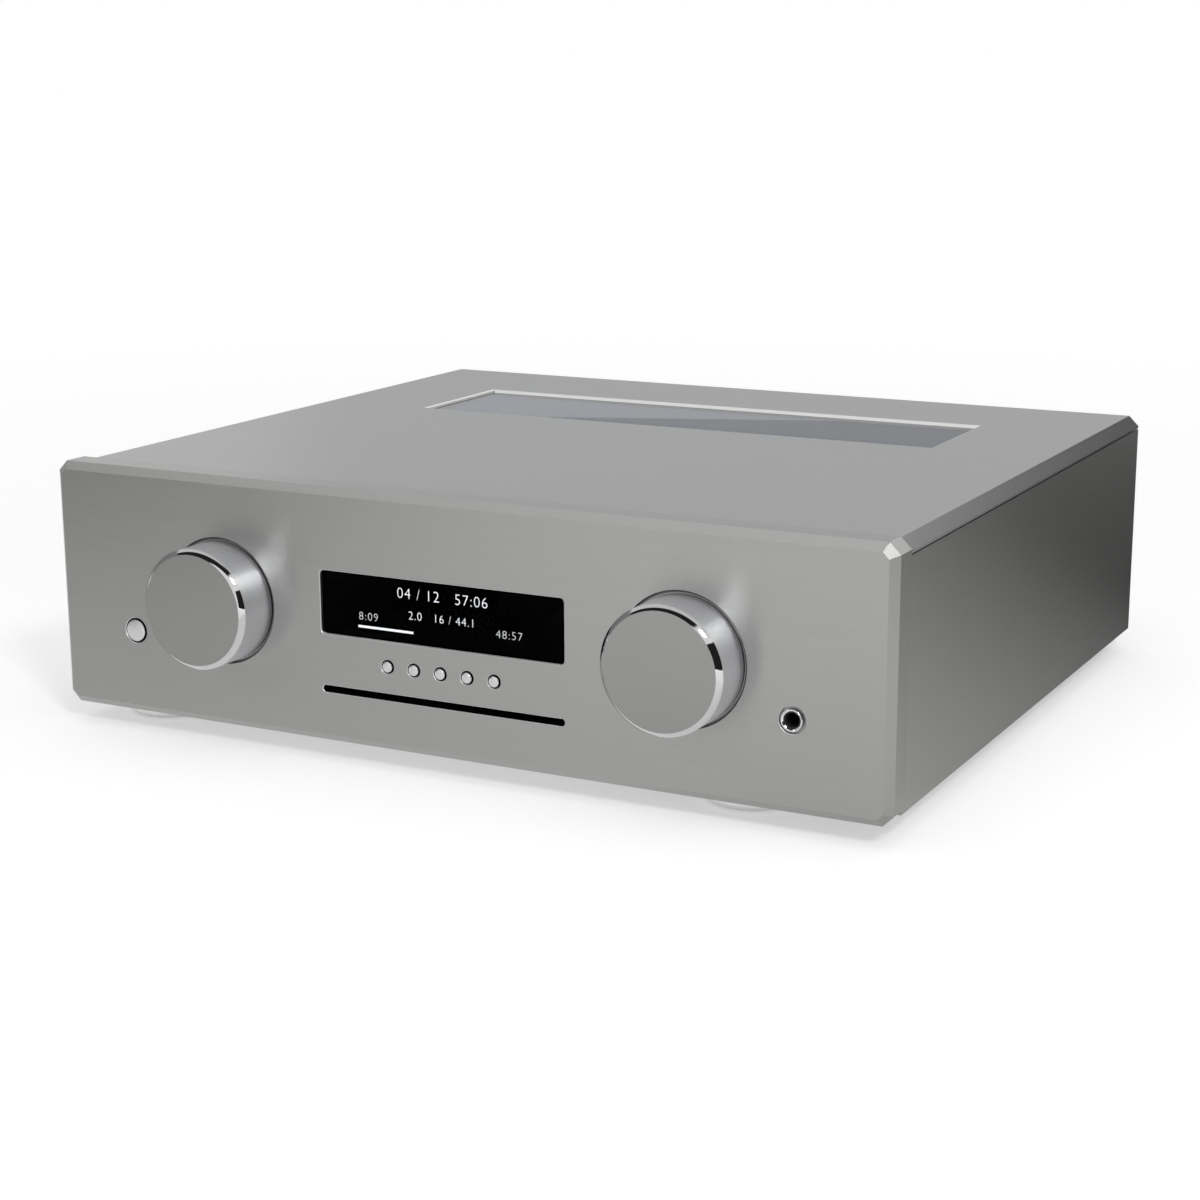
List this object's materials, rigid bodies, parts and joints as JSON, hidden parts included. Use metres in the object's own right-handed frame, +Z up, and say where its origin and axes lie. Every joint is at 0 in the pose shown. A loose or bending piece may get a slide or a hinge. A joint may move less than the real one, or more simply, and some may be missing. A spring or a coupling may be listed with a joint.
{
  "type": "cd receiver",
  "caption": "Full-width hi-fi receiver with a slot-loading disc drive, display, two large knobs, push buttons, a headphone socket and rear terminals.",
  "frame": {"origin": "on the supporting surface, at the middle of the overall box", "axes": "+X to the right seen from the front, +Y to the back, +Z up"},
  "size_m": [0.43, 0.412, 0.13],
  "materials": {
    "front_aluminium": "brushed, clear anodised",
    "cabinet_aluminium": "fine brushed, clear anodised",
    "case_steel": "zinc plated sheet",
    "black_panel": "fine satin black",
    "rail_aluminium": "extruded, natural",
    "screw_steel": "blackened",
    "foot_aluminium": "fine turned, clear anodised",
    "rubber": "matte",
    "lid_glass": "tinted, polished",
    "display_glass": "black, polished",
    "display_module": "dark panel with lit white figures",
    "knob_aluminium": "satin turned with a polished bevel",
    "polished_metal": "polished",
    "shaft_steel": "ground",
    "encoder_metal": "plated",
    "black_plastic": "fine moulded",
    "gear_plastic": "natural moulded",
    "circuit_board": "solder mask",
    "capacitor_sleeve": "printed sleeve, plain",
    "transformer_tape": "wound tape",
    "tube_glass": "clear",
    "post_metal": "gold plated",
    "cap_red": "moulded",
    "cap_black": "moulded"
  },
  "bodies": {
    "cabinet": {"amplifier_boards": "circuit_board", "antenna_socket": "post_metal", "base_plate": "case_steel", "binding_posts": "post_metal", "board_spacers": "screw_steel", "case_screws": "screw_steel", "control_board": "circuit_board", "cover_glass": "lid_glass", "digital_board": "circuit_board", "display_glass": "display_glass", "display_module": "display_module", "drive_chassis": "case_steel", "drive_cover": "case_steel", "feet": "foot_aluminium", "foot_pads": "rubber", "front_panel": "front_aluminium", "headphone_jack": "black_plastic", "headphone_ring": "polished_metal", "heatsinks": "rail_aluminium", "inner_front": "case_steel", "knob_encoders": "encoder_metal", "line_sockets": "post_metal", "loading_motor": "encoder_metal", "mains_inlet": "black_plastic", "power_board": "circuit_board", "rear_panel": "black_panel", "reservoir_capacitors": "capacitor_sleeve", "side_panel_left": "cabinet_aluminium", "side_panel_right": "cabinet_aluminium", "side_rails": "rail_aluminium", "top_cover": "cabinet_aluminium", "toroid_transformer": "transformer_tape", "tube_board": "circuit_board", "tubes": "tube_glass"},
    "source_control": {"source_knob": "knob_aluminium", "source_shaft": "shaft_steel"},
    "volume_control": {"volume_knob": "knob_aluminium", "volume_shaft": "shaft_steel"},
    "power_key": {"power_button": "polished_metal"},
    "key_1": {"function_button_1": "polished_metal"},
    "key_2": {"function_button_2": "polished_metal"},
    "key_3": {"function_button_3": "polished_metal"},
    "key_4": {"function_button_4": "polished_metal"},
    "key_5": {"function_button_5": "polished_metal"},
    "roller": {"loading_roller": "rubber", "roller_shaft": "gear_plastic"},
    "pinion": {"motor_pinion": "gear_plastic"},
    "clamp": {"disc_clamp": "black_plastic"},
    "traverse": {"traverse_frame": "case_steel", "sled_rails": "shaft_steel", "spindle_motor": "encoder_metal", "sled_motor": "encoder_metal"},
    "spindle": {"turntable": "black_plastic"},
    "sled": {"laser_sled": "black_plastic"},
    "sled_screw": {"lead_screw": "shaft_steel"},
    "rocker": {"mains_rocker": "black_plastic"},
    "cap_1": {"post_cap_1": "cap_black"},
    "cap_2": {"post_cap_2": "cap_red"},
    "cap_3": {"post_cap_3": "cap_black"},
    "cap_4": {"post_cap_4": "cap_red"}
  },
  "joints": [
    {"name": "source_turn", "type": "hinge", "parent": "cabinet", "child": "source_control", "pos_m": [-0.1195, -0.184, 0.071], "axis": [0, 1, 0], "continuous": true},
    {"name": "volume_turn", "type": "hinge", "parent": "cabinet", "child": "volume_control", "pos_m": [0.1195, -0.184, 0.071], "axis": [0, 1, 0], "continuous": true},
    {"name": "power_press", "type": "slide", "parent": "cabinet", "child": "power_key", "axis": [0, 1, 0], "range_m": [0, 0.0015], "stiffness_N_per_m": 900, "springref_m": -0.0008},
    {"name": "key_1_press", "type": "slide", "parent": "cabinet", "child": "key_1", "axis": [0, 1, 0], "range_m": [0, 0.001], "stiffness_N_per_m": 900, "springref_m": -0.0008},
    {"name": "key_2_press", "type": "slide", "parent": "cabinet", "child": "key_2", "axis": [0, 1, 0], "range_m": [0, 0.001], "stiffness_N_per_m": 900, "springref_m": -0.0008},
    {"name": "key_3_press", "type": "slide", "parent": "cabinet", "child": "key_3", "axis": [0, 1, 0], "range_m": [0, 0.001], "stiffness_N_per_m": 900, "springref_m": -0.0008},
    {"name": "key_4_press", "type": "slide", "parent": "cabinet", "child": "key_4", "axis": [0, 1, 0], "range_m": [0, 0.001], "stiffness_N_per_m": 900, "springref_m": -0.0008},
    {"name": "key_5_press", "type": "slide", "parent": "cabinet", "child": "key_5", "axis": [0, 1, 0], "range_m": [0, 0.001], "stiffness_N_per_m": 900, "springref_m": -0.0008},
    {"name": "roller_turn", "type": "hinge", "parent": "cabinet", "child": "roller", "pos_m": [0, -0.1557, 0.0301], "axis": [1, 0, 0], "continuous": true},
    {"name": "pinion_turn", "type": "hinge", "parent": "cabinet", "child": "pinion", "pos_m": [0.064, -0.14503, 0.0246], "axis": [1, 0, 0], "continuous": true},
    {"name": "clamp_turn", "type": "hinge", "parent": "cabinet", "child": "clamp", "pos_m": [0, -0.0867, 0.044], "axis": [0, 0, 1], "continuous": true},
    {"name": "traverse_lift", "type": "slide", "parent": "cabinet", "child": "traverse", "axis": [0, 0, 1], "range_m": [0, 0.0063]},
    {"name": "spindle_turn", "type": "hinge", "parent": "traverse", "child": "spindle", "pos_m": [0, -0.0867, 0.03], "axis": [0, 0, 1], "continuous": true},
    {"name": "screw_turn", "type": "hinge", "parent": "traverse", "child": "sled_screw", "pos_m": [0.026, -0.0467, 0.0262], "axis": [0, 1, 0], "range_deg": [0, 4080]},
    {"name": "sled_travel", "type": "slide", "parent": "traverse", "child": "sled", "axis": [0, 1, 0], "range_m": [0, 0.034]},
    {"name": "mains_switch", "type": "hinge", "parent": "cabinet", "child": "rocker", "pos_m": [-0.17, 0.186, 0.07], "axis": [-1, 0, 0], "range_deg": [0, 20]},
    {"name": "post_cap_1_turn", "type": "hinge", "parent": "cabinet", "child": "cap_1", "pos_m": [-0.1125, 0.186, 0.042], "axis": [0, 1, 0], "range_deg": [0, 1080]},
    {"name": "post_cap_2_turn", "type": "hinge", "parent": "cabinet", "child": "cap_2", "pos_m": [-0.0875, 0.186, 0.042], "axis": [0, 1, 0], "range_deg": [0, 1080]},
    {"name": "post_cap_3_turn", "type": "hinge", "parent": "cabinet", "child": "cap_3", "pos_m": [0.1375, 0.186, 0.042], "axis": [0, 1, 0], "range_deg": [0, 1080]},
    {"name": "post_cap_4_turn", "type": "hinge", "parent": "cabinet", "child": "cap_4", "pos_m": [0.1625, 0.186, 0.042], "axis": [0, 1, 0], "range_deg": [0, 1080]}
  ],
  "couplings": [
    {"joint": "pinion_turn", "follows": "roller_turn", "ratio": -1.5},
    {"joint": "screw_turn", "follows": "sled_travel", "rad_per_m": 2094.4}
  ]
}
